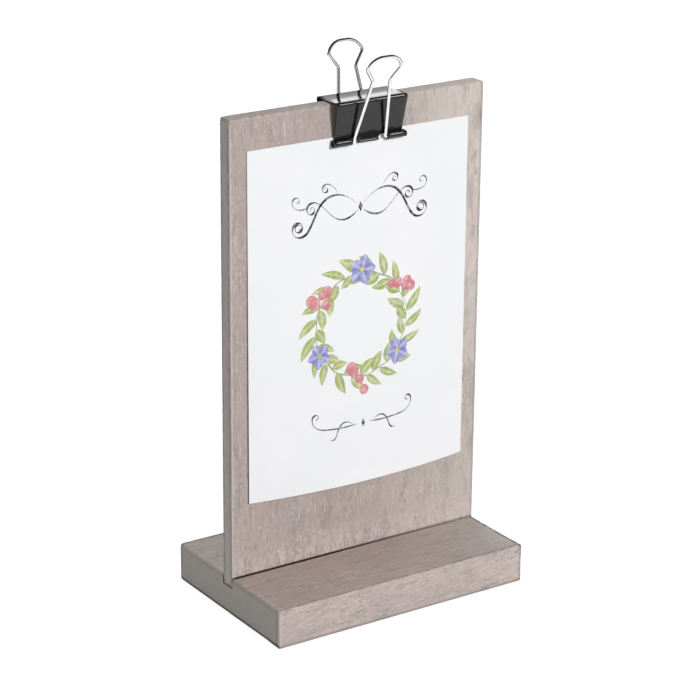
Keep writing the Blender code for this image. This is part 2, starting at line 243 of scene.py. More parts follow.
class Finish(Nodes):
    # a material in the making, on coordinates that stay with the piece
    def __init__(self, name):
        self.material = bpy.data.materials.new(name)
        super().__init__(self.material)
        self.coords = self.add("TexCoord")["Object"]

    def noise(self, size, detail=4.0, rough=0.6, shift=(0, 0, 0), coords=None):
        # noise whose features measure about size, in millimetres, the same all round or along X, Y and Z
        sizes = [size] * 3 if isinstance(size, (int, float)) else size
        moved = self.add("Mapping", {
            "Vector": self.coords if coords is None else coords,
            "Scale": [1 / (s * mm) for s in sizes],
            "Location": shift,
        })[0]
        levels = {"Scale": 1.0, "Detail": detail, "Roughness": rough}
        return self.add("TexNoise", {"Vector": moved, **levels})["Fac"]

    def bump(self, height, strength, depth):
        return self.add("Bump", {"Height": height, "Strength": strength, "Distance": depth})[0]

    def done(self, sockets):
        # joins the values to the surface
        for name, value in sockets.items():
            self.feed(self.tree.nodes["Principled BSDF"], name, value)
        return self.material


# wood of the base and the board

baseWood = {
    "grain": 0,  # runs along X
    "easing": 1.6 * mm,
    "frontEasing": 1.0 * mm,
    "frontReach": 12 * mm,  # how far back the crisper front edges run out
    "step": 2.6 * mm,
    "edgeWear": 0.3 * mm,
    "ripple": 0.05 * mm,
    "grooveSnug": 0.12 * mm,  # at the ends
    "grooveFront": 0.65 * mm,  # between them
    "grooveFloor": 0.1 * mm,
    "grooveEase": 0.5 * mm,
    "snugEnd": 1.4 * mm,
    "jointShadeSide": (0.9 * mm, 0.7 * mm),  # painted shade in the groove, reaching past its sides
    "jointShadeTop": (0.1 * mm, 0.5 * mm),  # below the upper face
    "jointShadeFloor": 0.4 * mm,
    "taupe": tint(199, 183, 174),
    "mauve": tint(196, 181, 178),
    "grey": tint(172, 164, 160),
    "dark": tint(148, 133, 126),
    "pale": tint(220, 210, 204),
    "worn": tint(224, 215, 209),
    "fleck": tint(106, 92, 85),
    # colour of the painted shade
    "shadeTone": tint(52, 43, 38),
    "endTone": tint(186, 181, 176),
    "topTone": tint(187, 169, 160),
    "topCalm": 0.1,  # how much quieter the upper face is than the front
    "feathers": 0.55,  # pale brush marks on the long sides
    "paledRight": 0.4,  # painted light: paler towards its right end
    "paledFrom": 0.0,
    "paledTop": 1.0,  # as much on the upper face
    "foot": 0.0,
    "lowShade": 0.93,  # painted shade along its lower edges
    "rubbed": 0.25,
    "outline": 0.8,  # painted shade, dark along the right and rear edges
    "endOutline": 0.2,
    "lipOutline": 0.6,
    "paintedSheen": 0.85,  # painted reflection behind the board and painted light towards its right end, on the upper face
}
boardWood = {
    "grain": 2,  # runs along Z
    "easing": 0.7 * mm,
    "frontEasing": 0.7 * mm,
    "frontReach": 12 * mm,
    "corner": 1.5 * mm,
    "jointShadeTop": (0.9 * mm, 0.2 * mm),  # above the base
    "step": 2.6 * mm,
    "edgeWear": 0.2 * mm,
    "ripple": 0.04 * mm,
    "taupe": tint(184, 169, 161),
    "mauve": tint(182, 167, 164),
    "grey": tint(169, 160, 156),
    "dark": tint(152, 138, 131),
    "pale": tint(213, 203, 196),
    "worn": tint(212, 203, 197),
    "fleck": tint(112, 99, 92),
    # colour of the painted shade
    "shadeTone": tint(48, 40, 35),
    # paler than the wood's own end grain: painted light on the end faces
    "endTone": tint(202, 195, 192),
    "topTone": tint(141, 135, 132),
    "topCalm": 0.5,
    "feathers": 0.0,
    "paledRight": 1.0,  # paler towards its right side
    "paledFrom": -10 * mm,
    "paledTop": 0.45,
    "foot": 0.7,  # paler and mottled near the base, the paleness partly painted light
    "lowShade": 0.0,
    "rubbed": 0.7,
    "outline": 0.55,
    "endOutline": 0.67,
    "lipOutline": 0.0,
    "paintedSheen": 0.0,
}
# places and sizes of the wash, the wear and the painted light and shade on both woods; a pair is where one
# starts and where it is full
washSpec = {
    "greyBehind": (0, 8 * mm),
    "greyRight": 25 * mm,
    "paledHeights": (70 * mm, 150 * mm),
    "foot": (40 * mm, 22 * mm),
    "rubbedWidth": 1.3 * mm,  # of the pale edges, at most
    "rubbedFade": (-0.2 * mm, 0.7 * mm),
    "rubbedTop": (3 * mm, 2 * mm),  # below the top, where the pale edges are patchy
    "darkLine": (1.5 * mm, 0.7 * mm),  # inside the rounded edge
    "rim": (1.4 * mm, 0.6 * mm),
    "lip": 0.8 * mm,
    "lowShade": (2.7 * mm, 1.8 * mm),
    "follow": 1.5,  # how far the dark lines move out on the crisper front, per difference in rounding
    "followFoot": 0.5,  # and the lower one, as a share of that
    "slant": math.radians(12),  # of the brush marks to the grain
    "pith": (14 * mm, 26 * mm, 30 * mm),
    "wearSizes": (9 * mm, 3 * mm),  # coarse and fine
    "rippleSize": 14 * mm,
}
# noises of the wash: size across and along the grain in millimetres, detail, roughness, shift
woodNoises = {
    "patches": (7, 34, 3.0, 0.55, (0, 0, 0)),
    "crowd": (9, 20, 2.0, 0.5, (8, 3, 6)),
    "mottle": (1.8, 3, 5.0, 0.66, (11, 2, 9)),
    "feather": (1.0, 3.4, 5.0, 0.66, (2, 6, 3)),
    "pitted": (0.7, 12, 4.0, 0.65, (6, 6, 6)),
    "ragged": (4, 4, 4.0, 0.7, (9, 3, 2)),
    "pores": (0.6, 5, 4.0, 0.6, (5, 5, 1)),
}
# marks of the wash: size across and along the grain in millimetres, noise level where a mark starts
# and where it is full, strength, tone
woodMarks = (
    ((15, 26), 0.46, 0.64, 0.60, "grey"),
    ((3.0, 15), 0.50, 0.70, 0.45, "dark"),
    ((3.0, 15), 0.46, 0.28, 0.40, "pale"),
    ((1.0, 6), 0.50, 0.70, 0.50, "dark"),
    ((1.0, 6), 0.46, 0.28, 0.45, "pale"),
    ((0.9, 2.2), 0.54, 0.68, 0.60, "pale"),
    ((1.2, 2.4), 0.45, 0.30, 0.40, "dark"),
    ((0.4, 1.0), 0.54, 0.74, 0.30, "dark"),
    ((0.6, 3.0), 0.66, 0.74, 0.55, "fleck"),
    ((2.6, 3.2), 0.75, 0.80, 0.70, "fleck"),
)


class WoodFinish(Finish):
    # grey-washed wood on one block; each step gives back a colour, and later ones take the colour so far
    def __init__(self, name, wood, low, high):
        super().__init__(name)
        self.wood, self.low, self.high = wood, low, high
        self.spot = self.add("SeparateXYZ", {0: self.coords})
        self.normal = self.add("SeparateXYZ", {0: self.add("TexCoord")["Normal"]})
        self.facing = [self.between(self.calc("ABSOLUTE", part), 0.55, 0.85) for part in self.normal]
        self.offEnd = self.inverse(self.facing[0])
        self.mottle = self.grained(*woodNoises["mottle"])
        self.ragged = self.grained(*woodNoises["ragged"])
        turn = (0, washSpec["slant"], 0)
        slanted = self.add("Mapping", {"Vector": self.coords, "Rotation": turn})[0]
        self.feather = self.grained(*woodNoises["feather"], slanted)
        self.toEdge = self.edgeDistance()

    def grained(self, across, along, detail, rough, shift, coords=None):
        # noise that is stretched along the grain
        size = [across, across, across]
        size[self.wood["grain"]] = along
        return self.noise(size, detail, rough, shift, coords)

    def paint(self, colour, tone, *shares):
        return self.mixed(self.times(*shares), colour, self.wood[tone])

    def edgeDistance(self):
        # how far a place is from the nearest edge of the block
        fromCentre = self.vector("SUBTRACT", self.coords, (self.low + self.high) / 2)[0]
        spread = self.vector("ABSOLUTE", fromCentre)[0]
        depth = self.vector("SUBTRACT", (self.high - self.low) / 2, spread)[0]
        a, b, c = self.add("SeparateXYZ", {0: depth})
        longer = self.calc("MINIMUM", self.most(a, b), c)
        return self.most(self.calc("MINIMUM", a, b), longer)

    def washed(self):
        # wide patches, a tone for the upper face, painted reflection and light on the base's upper face, and
        # paler towards the right, which on the base is painted light
        wood, onTop = self.wood, self.facing[2]
        x, y, z = self.spot
        patches = self.grained(*woodNoises["patches"])
        colour = self.mixed(self.between(patches, 0.4, 0.6), wood["taupe"], wood["mauve"])
        colour = self.paint(colour, "topTone", onTop, 0.7)
        behind = self.between(y, *washSpec["greyBehind"])
        sheenPlaces = self.most(behind, self.between(x, washSpec["greyRight"], self.high.x))
        colour = self.paint(colour, "endTone", sheenPlaces, onTop, wood["paintedSheen"])
        # paler towards the right: painted light on the base, a paler tone on the board
        toRight = self.between(x, wood["paledFrom"], self.high.x)
        upThere = self.ranged(z, 0.55, 1.0, *washSpec["paledHeights"])
        above = self.ranged(onTop, 1.0, wood["paledTop"])
        return self.paint(colour, "pale", toRight, upThere, above, wood["paledRight"])

    def marked(self, colour):
        # marks crowd in some places and leave others calm, as the upper face is
        crowd = self.ranged(self.grained(*woodNoises["crowd"]), 0.4, 1.3, 0.36, 0.64)
        calm = self.inverse(self.times(self.facing[2], self.wood["topCalm"]))
        lively = self.times(crowd, calm)
        for n, (size, start, full, amount, tone) in enumerate(woodMarks):
            marks = self.grained(*size, 4.0, 0.58, (3 + n, 7 - n, 5 + 2 * n))
            colour = self.paint(colour, tone, self.between(marks, start, full), amount, lively)
        # mottled wood near the base, its paleness partly painted light
        nearFoot = self.times(self.between(self.spot[2], *washSpec["foot"]), self.wood["foot"])
        colour = self.paint(colour, "pale", nearFoot, self.between(self.mottle, 0.42, 0.62))
        return self.paint(colour, "fleck", nearFoot, self.between(self.mottle, 0.36, 0.28), 0.8)

    def brushed(self, colour):
        # brush marks that cross the grain a little, on the long sides, most of them under the upper edge
        upper = self.ranged(self.spot[2], 0.35, 1.0, self.low.z, self.high.z)
        share = self.times(self.facing[1], upper, self.wood["feathers"])
        colour = self.paint(colour, "worn", self.between(self.feather, 0.5, 0.66), share)
        return self.paint(colour, "dark", self.between(self.feather, 0.38, 0.27), share, 0.45)

    def endGrained(self, colour):
        # end grain takes the wash evenly and is smoother
        pith = self.add("Mapping", {"Vector": self.coords, "Location": washSpec["pith"]})[0]
        rings = self.add("TexWave", {
            "Vector": pith, "Scale": 150.0, "Distortion": 5.0, "Detail": 4.0, "Detail Scale": 1.5,
        }, wave_type="RINGS", rings_direction="XYZ"[self.wood["grain"]])["Fac"]
        pitted = self.between(self.grained(*woodNoises["pitted"]), 0.45, 0.75)
        endColour = self.paint(self.wood["endTone"], "dark", rings, 0.08)
        endColour = self.paint(endColour, "dark", pitted, 0.5)
        return self.mixed(self.facing[0], colour, endColour)

    def rubbed(self, colour):
        # sanded edges: a thin pale line, wider in places and patchy along the top
        ease, top = self.wood["easing"], self.high.z
        reach = self.ranged(self.ragged, ease, ease + washSpec["rubbedWidth"], 0.3, 0.7)
        bare = self.between(self.calc("SUBTRACT", reach, self.toEdge), *washSpec["rubbedFade"])
        start, full = washSpec["rubbedTop"]
        highUp = self.between(self.spot[2], top - start, top - full)
        patchy = self.ranged(self.ragged, 0.0, 0.5, 0.45, 0.6)
        patchy = self.add("Mix", {0: highUp, 2: 1.0, 3: patchy})[0]
        return self.paint(colour, "worn", bare, self.wood["rubbed"], self.offEnd, patchy)

    def darkened(self, colour):
        # painted shade: dark lines along the right and rear edges, less so elsewhere, and along the lower
        # edges
        wood = self.wood
        x, y, z = self.spot
        onEnd, onFront, onTop = self.facing
        ease = wood["easing"]
        start, full = washSpec["darkLine"]
        right, rear = self.high.x - ease, self.high.y - ease
        crisper = self.times(onFront, washSpec["follow"] * (ease - wood["frontEasing"]))
        nearRight = self.times(
            self.between(self.calc("SUBTRACT", x, crisper), right - start, right - full),
            self.between(self.normal[0], 0.95, 0.75),
            self.ranged(onFront, 1.0, 0.6),
        )
        nearRear = self.between(y, rear - start, rear - full)
        nearRear = self.times(nearRear, self.between(self.normal[1], 0.8, 0.5))
        lipEnd = self.low.y + wood["frontEasing"]
        lip = self.between(y, lipEnd + washSpec["lip"], lipEnd)
        lip = self.times(lip, onTop, wood["lipOutline"])
        outer = self.most(nearRight, nearRear, self.times(onEnd, wood["endOutline"]), lip)
        start, full = washSpec["rim"]
        rim = self.between(self.toEdge, ease + start, ease + full)
        broken = self.between(self.ragged, 0.25, 0.6)
        colour = self.paint(colour, "shadeTone", rim, outer, broken, wood["outline"])
        # painted shade along the lower edges, where they meet the floor
        fromTable = self.calc("ADD", z, self.times(crisper, washSpec["followFoot"]))
        lowest = self.times(self.between(fromTable, *washSpec["lowShade"]), wood["lowShade"])
        return self.paint(colour, "shadeTone", lowest, self.inverse(onTop), self.ranged(onEnd, 0.4, 1.0))

    def complete(self, jointShade):
        # the mask passed in is painted shade by a joint
        colour = self.brushed(self.marked(self.washed()))
        colour = self.darkened(self.rubbed(self.endGrained(colour)))
        relief = self.calc("ADD", self.grained(*woodNoises["pores"]), self.feather)
        return self.done({
            "Base Color": self.paint(colour, "shadeTone", jointShade, self.offEnd),
            "Roughness": self.ranged(self.mottle, 0.55, 0.8),
            "Normal": self.bump(self.times(relief, self.offEnd), 0.3, 0.12 * mm),
            "Specular IOR Level": 0.3,
        })


def easedBlock(name, low, high, wood):
    # a block with round, slightly worn edges, gridded so that the wear has points to move
    ease, front = wood["easing"], wood["frontEasing"]
    wide, fine = washSpec["wearSizes"]
    rim = [1 - math.tan(math.radians(turn)) for turn in (45, 30, 15, 0)]
    steps = []
    for a, b, first in zip(low, high, (ease, front, ease)):
        flat = b - a - first - ease
        count = max(2, round(flat / wood["step"]))
        inner = [a + first + flat * n / count for n in range(1, count)]
        steps.append([a + first * r for r in rim] + inner + [b - ease * r for r in reversed(rim)])
    shape = bmesh.new()
    corners = {}

    def corner(place):
        if place not in corners:
            flat = Vector([steps[n][place[n]] for n in range(3)])
            bend = front + (ease - front) * min(1.0, (flat.y - low.y) / wood["frontReach"])
            core = Vector([min(max(flat[n], low[n] + bend), high[n] - bend) for n in range(3)])
            way = (flat - core).normalized()
            edge = 1 - max(abs(part) for part in way)
            worn = 0.5 + 0.5 * noise.noise(flat / wide) + 0.35 * noise.noise(flat / fine)
            sunk = wood["edgeWear"] * edge * 3 * max(0.0, worn)
            sunk += wood["ripple"] * (0.5 + 0.5 * noise.noise(flat / washSpec["rippleSize"]))
            spot = core + way * (bend - sunk)
            corners[place] = shape.verts.new(roundCorner(spot, low, high, wood.get("corner", 0)))
        return corners[place]

    for axis in range(3):
        u, v = (axis + 1) % 3, (axis + 2) % 3
        for last in (0, len(steps[axis]) - 1):
            for i in range(len(steps[u]) - 1):
                for j in range(len(steps[v]) - 1):
                    ring = []
                    for di, dj in ((0, 0), (1, 0), (1, 1), (0, 1)):
                        place = [0, 0, 0]
                        place[axis], place[u], place[v] = last, i + di, j + dj
                        ring.append(corner(tuple(place)))
                    shape.faces.new(ring)
    return finishMesh(name, shape, 50)


def roundCorner(spot, low, high, radius):
    # swings the points near the two upper corners onto arcs
    if radius == 0:
        return spot
    inX = min(max(spot.x, low.x + radius), high.x - radius)
    inZ = min(spot.z, high.z - radius)
    out = Vector((spot.x - inX, spot.z - inZ))
    if out.x == 0 or out.y == 0:
        return spot
    swung = out.normalized() * max(abs(out.x), abs(out.y))
    return Vector((inX + swung.x, spot.y, inZ + swung.y))


screwSpec = {
    "reach": 45 * mm,  # from the middle to each screw
    "head": 3.5 * mm,
    "headRim": 0.15 * mm,
    "shank": 1.3 * mm,
    "crest": 1.75 * mm,
    "pitch": 1.6 * mm,
    "length": 30 * mm,
    "recess": 0.6 * mm,
    "room": 0.25 * mm,
    "thread": 15 * mm,
    "tip": 3 * mm,
    "slot": (0.45 * mm, 1.9 * mm),  # half the width and half the length of each
    "slotDeep": 1.2 * mm,
    "cutPast": 5 * mm,  # how far a cut runs on outside the wood
}


def makeBase():
    low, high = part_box("base_block")
    boardLow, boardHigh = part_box("upright_board")
    mesh = easedBlock("baseBlock", low, high, baseWood)
    snug, ease, past = baseWood["grooveSnug"], baseWood["grooveEase"], screwSpec["cutPast"]
    top, floorZ = high.z, boardLow.z - baseWood["grooveFloor"]
    near, far = boardLow.y - snug, boardHigh.y + snug
    lip = boardLow.y - baseWood["grooveFront"]
    groove = [(near, floorZ), (far, floorZ), (far, top + past), (near, top + past)]
    gap = [
        (lip, floorZ), (0, floorZ), (0, top + past),
        (lip - ease, top + past), (lip - ease, top), (lip, top - 2 * ease),
    ]
    inLeft, inRight = boardLow.x + baseWood["snugEnd"], boardHigh.x - baseWood["snugEnd"]
    cutters = [
        prism("groove", groove, 0, low.x - past, high.x + past),
        prism("gap", gap, 0, inLeft, inRight),
    ]
    bore, head, seat = (screwSpec[size] + screwSpec["room"] for size in ("crest", "head", "recess"))
    hole = [(0, top), (bore, top), (bore, seat + head - bore), (head, seat), (head, -past), (0, -past)]
    for side in (-1, 1):
        cutters.append(turned("screwHole", hole, (side * screwSpec["reach"], 0)))

    # painted shade in the groove, below its lips
    finish = WoodFinish("baseWood", baseWood, low, high)
    _, y, z = finish.spot
    start, full = baseWood["jointShadeSide"]
    inside = finish.between(finish.calc("ABSOLUTE", y), far + start, far + full)
    start, full = baseWood["jointShadeTop"]
    below = finish.between(z, top - start, top - full)
    above = finish.between(z, floorZ - baseWood["jointShadeFloor"], floorZ)
    jointShade = finish.times(inside, below, above)
    piece = addPiece("baseBlock", cutAway(mesh, cutters), finish.complete(jointShade))
    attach(piece, "stand")
    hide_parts("base_block")


def makeBoard():
    low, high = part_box("upright_board")
    mesh = easedBlock("uprightBoard", low, high, boardWood)
    bore = screwSpec["crest"] + screwSpec["room"]
    top = screwSpec["recess"] + screwSpec["length"] + screwSpec["room"]
    foot = low.z - screwSpec["cutPast"]
    pilot = [(0, top), (bore, top - bore), (bore, foot), (0, foot)]
    cutters = [turned("pilotHole", pilot, (side * screwSpec["reach"], 0)) for side in (-1, 1)]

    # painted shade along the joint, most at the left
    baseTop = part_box("base_block")[1].z
    finish = WoodFinish("boardWood", boardWood, low, high)
    x, _, z = finish.spot
    start, full = boardWood["jointShadeTop"]
    inJoint = finish.between(z, baseTop + start, baseTop + full)
    jointShade = finish.times(inJoint, finish.ranged(x, 0.45, 1.0, high.x, low.x * 0.2))
    piece = addPiece("uprightBoard", cutAway(mesh, cutters), finish.complete(jointShade))
    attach(piece, "stand")
    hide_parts("upright_board")


makeBase()
makeBoard()
print("wood done")


# screws, seen only from below

def steelFinish():
    steel = Finish("screwSteel")
    dull = steel.noise(1.5, 5.0)
    return steel.done({
        "Base Color": steel.mixed(steel.between(dull, 0.4, 0.7), tint(196, 192, 184), tint(150, 144, 134)),
        "Roughness": steel.ranged(dull, 0.22, 0.5),
        "Metallic": 1.0,
    })


def makeScrews():
    spec = screwSpec
    foot, pitch = spec["recess"], spec["pitch"]
    end = foot + spec["length"]
    steel = steelFinish()
    points = [(0, end)]
    for turn in range(round(spec["thread"] / pitch)):
        height = end - spec["tip"] - turn * pitch
        points += [(spec["shank"], height), (spec["crest"], height - pitch / 2)]
    points += [
        (spec["shank"], height - pitch),
        (spec["shank"], foot + spec["head"] - spec["shank"]),
        (spec["head"], foot + spec["headRim"]),
        (spec["head"] - spec["headRim"], foot),
        (0, foot),
    ]
    for side, word in ((-1, "left"), (1, "right")):
        x = side * spec["reach"]
        mesh = turned("screw", points, (x, 0), 48)
        slots = []
        for wide, tall in (spec["slot"], spec["slot"][::-1]):
            outline = [(x - wide, -tall), (x + wide, -tall), (x + wide, tall), (x - wide, tall)]
            slots.append(prism("driverSlot", outline, 2, foot - spec["slotDeep"], foot + spec["slotDeep"]))
        piece = addPiece("baseScrew_" + word, cutAway(mesh, slots), steel)
        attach(piece, "stand")
        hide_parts("base_screw_" + word)


makeScrews()
print("screws done")


# printed card: a bowed sheet, with the print as thin films of ink on it

cardSpec = {
    "thick": 0.3 * mm,
    "clamped": 6 * mm,
    "bow": 6 * mm,
    "bowPower": 1.4,
    "lift": 0.5 * mm,  # of the lower corners
    "columns": 44,
    "rows": 62,
}
cardLow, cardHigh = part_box("sign_card")


def cardPoint(across, height, out=0.0):
    # a place on the card's front: millimetres right of its middle and above its lower edge
    low, high = cardLow, cardHigh
    x = across * mm
    z = low.z + height * mm
    side = max(-1.0, min(1.0, x / ((high.x - low.x) / 2)))
    down = max(0.0, high.z - z - cardSpec["clamped"]) / (high.z - low.z - cardSpec["clamped"])
    bulge = cardSpec["bow"] * down ** cardSpec["bowPower"] * (1 - side * side)
    bulge += cardSpec["lift"] * math.sin(down * math.pi / 2)
    return Vector((x, high.y - cardSpec["thick"] - bulge - out * mm, z))


def paperFinish():
    paper = Finish("cardPaper")
    fibre = paper.noise(0.5, 5.0, 0.65)
    cloud = paper.noise(40, 2.0)
    colour = paper.mixed(paper.between(cloud, 0.35, 0.65), tint(248, 248, 250), tint(245, 246, 248))
    return paper.done({
        "Base Color": paper.mixed(paper.times(fibre, 0.25), colour, tint(238, 238, 241)),
        "Roughness": paper.ranged(fibre, 0.55, 0.75),
        "Normal": paper.bump(fibre, 0.12, 0.03 * mm),
        "Specular IOR Level": 0.25,
    })


def makeCard():
    wide, tall = (cardHigh.x - cardLow.x) / mm, (cardHigh.z - cardLow.z) / mm
    columns, rows = cardSpec["columns"], cardSpec["rows"]
    line = [(column / columns - 0.5) * wide for column in range(columns + 1)]
    shape = bmesh.new()
    rims = []
    for out in (0.0, -cardSpec["thick"] / mm):
        grid = []
        for row in range(rows + 1):
            height = tall * (1 - row / rows)
            grid.append([shape.verts.new(cardPoint(across, height, out)) for across in line])
        for one, two in zip(grid, grid[1:]):
            joinRows(shape, one, two)
        rim = grid[0] + [row[-1] for row in grid[1:]] + grid[-1][-2::-1]
        rims.append(rim + [row[0] for row in grid[-2:0:-1]])
    joinRows(shape, *rims, closed=True)
    piece = addPiece("signCard", finishMesh("signCard", shape), paperFinish())
    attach(piece, "card")
    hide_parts("sign_card")


makeCard()
print("card done")


# the print: a wreath of leaves, berries and blossoms between two pen scrolls, in millimetres on the card

printSpec = {
    "film": 0.012,  # of ink
    "overlap": 0.0006,  # how much higher each shape lies than the one before it
    "levels": {"stems": 0.004, "leaves": 0.008, "berries": 0.05, "blossoms": 0.08, "scrolls": 0.004},
    "ringMiddle": (0.0, 82.0),
    "ringRadius": 26.5,
    "ringSteps": 120,
    "stemWave": (0.5, 0.5),  # how far it sways, and the turn at each step
    "stemLine": (0.55, 0.8),  # finest and widest
    "leaves": 20,
    "leafLength": 13.5,
    "leafWidth": 4.9,
    "leafBend": 0.5,
    "innerLeaf": 0.8,  # size of a leaf inside the ring, against one outside
    "berryPlaces": (0.6, 2.5, 4.6),  # angles on the ring
    "berries": 5,  # at each place
    "berryRadius": 2.8,
    "berrySides": 24,
    "litFrom": 2.2,  # angle of the light on a berry
    "blossoms": ((1.55, 1.2), (3.6, 1.0), (5.6, 1.1)),  # angle and size
    "petals": 5,
    "petalLength": 6.3,
    "petalWidth": 0.85,  # against its length
    "petalBend": 0.2,
    "petalRoot": 0.6,  # from the blossom's middle
    "heart": 1.2,
    "penStep": 0.35,
    "nib": 0.9,  # angle of the flat pen
    "nibContrast": 2.2,
    "taper": (0.15, 6),  # width at a stroke's tip, and how fast it grows from there
    "seed": 11,
}
washes = {
    "leafYoung": (0.60, 0.62, 0.17),
    "leafOld": (0.30, 0.40, 0.12),
    "leafRib": (0.93, 0.93, 0.85),
    "rosePale": (0.80, 0.36, 0.36),
    "roseDeep": (0.52, 0.09, 0.16),
    "bluePale": (0.40, 0.42, 0.74),
    "blueDeep": (0.16, 0.17, 0.52),
    "heart": (0.86, 0.62, 0.18),
    "stem": (0.34, 0.33, 0.14),
    "pen": (0.016, 0.016, 0.018),
}


def washFinish():
    ink = Finish("printWash")
    painted = ink.add("Attribute", attribute_name="wash")["Color"]
    pool = ink.noise(3, 4.0, 0.6)
    speckle = ink.noise(0.45, 3.0, 0.7)
    bare = tint(244, 242, 240)
    colour = ink.mixed(ink.times(ink.between(pool, 0.42, 0.72), 0.45), painted, bare)
    return ink.done({
        "Base Color": ink.mixed(ink.times(ink.between(speckle, 0.5, 0.75), 0.18), colour, bare),
        "Roughness": ink.ranged(speckle, 0.55, 0.75),
        "Specular IOR Level": 0.25,
    })


class InkFilm:
    # gathers flat shapes, then lays them on the bowed card as one thin film
    def __init__(self, word):
        self.name = "print" + word.capitalize()
        self.level = printSpec["levels"][word]
        self.shape = bmesh.new()
        self.wash = self.shape.verts.layers.float_color.new("wash")

    def dot(self, across, height, colour):
        made = self.shape.verts.new((across, height, self.level))
        made[self.wash] = (*colour, 1.0)
        return made

    def patch(self, rows):
        # rows of (across, height, colour), joined as a grid
        grid = [[self.dot(*spot) for spot in row] for row in rows]
        for one, two in zip(grid, grid[1:]):
            joinRows(self.shape, one, two)
        self.level += printSpec["overlap"]

    def lay(self, finish):
        bmesh.ops.remove_doubles(self.shape, verts=self.shape.verts, dist=0.0002)
        flat = list(self.shape.faces)
        raised = bmesh.ops.extrude_face_region(self.shape, geom=flat)["geom"]
        for vert in [part for part in raised if isinstance(part, bmesh.types.BMVert)]:
            vert.co.z += printSpec["film"]
        for vert in self.shape.verts:
            vert.co = cardPoint(vert.co.x, vert.co.y, vert.co.z)
        piece = addPiece(self.name, finishMesh(self.name, self.shape), finish)
        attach(piece, "card")


def lerp(one, two, amount):
    return tuple(a + (b - a) * amount for a, b in zip(one, two))


def paintLeaf(film, place, heading, length, width, young, old, bend):
    # a pointed leaf that curves a little, pale along its rib and darker at its rim
    rows = []
    steps = 12
    x, y = place
    for n in range(steps + 1):
        t = n / steps
        turn = heading + bend * (t - 0.4)
        half = width / 2 * math.sin(math.pi * t ** 0.8) ** 0.9 if 0 < n < steps else 0.02
        row = []
        for side in (-1.0, -0.82, -0.4, 0.0, 0.4, 0.82, 1.0):
            fromRib = abs(side)
            tone = lerp(young, old, 0.15 + 0.5 * (1 - t) + 0.25 * (side > 0))
            tone = lerp(tone, washes["leafRib"], 0.4 * max(0.0, 1 - fromRib * 2.6))
            tone = lerp(tone, lerp(old, (0, 0, 0), 0.2), 0.55 if fromRib == 1.0 else 0.0)
            row.append((x - math.sin(turn) * half * side, y + math.cos(turn) * half * side, tone))
        rows.append(row)
        x += math.cos(turn) * length / steps
        y += math.sin(turn) * length / steps
    film.patch(rows)


def paintBerry(film, place, radius, pale, deep):
    # a round drop, lit from its upper left
    rows = []
    for part in (0.04, 0.45, 0.85, 1.0):
        row = []
        for n in range(printSpec["berrySides"] + 1):
            angle = 2 * math.pi * n / printSpec["berrySides"]
            glow = max(0.0, math.cos(angle - printSpec["litFrom"])) * (1 - abs(part - 0.45))
            tone = lerp(lerp(deep, pale, 0.55), pale, glow)
            tone = lerp(tone, deep, 0.85 if part == 1.0 else 0.2 * part)
            spot = (place[0] + radius * part * math.cos(angle), place[1] + radius * part * math.sin(angle))
            row.append((*spot, tone))
        rows.append(row)
    film.patch(rows)


def penPath(start, heading, bends):
    # walks a pen: each bend is (length, turn at its start, turn at its end) in degrees per millimetre
    x, y = start
    path = [(x, y, heading)]
    for length, first, last in bends:
        count = max(2, round(length / printSpec["penStep"]))
        for n in range(count):
            heading += math.radians(first + (last - first) * (n + 0.5) / count) * length / count
            x += math.cos(heading) * length / count
            y += math.sin(heading) * length / count
            path.append((x, y, heading))
    return path


def penStroke(film, path, thin, thick, colour, mirror=False):
    # a flat nib: wide where the line runs across it, hair-fine at both ends
    tip, growth = printSpec["taper"]
    rows = []
    for n, (x, y, heading) in enumerate(path):
        t = n / (len(path) - 1)
        across = abs(math.sin(heading - printSpec["nib"])) ** printSpec["nibContrast"]
        width = thin + (thick - thin) * across
        half = width / 2 * min(1.0, growth * t + tip, growth * (1 - t) + tip)
        dx, dy = -math.sin(heading) * half, math.cos(heading) * half
        row = [(x + dx, y + dy, colour), (x - dx, y - dy, colour)]
        rows.append([(-a, b, tone) for a, b, tone in row] if mirror else row)
    film.patch(rows)


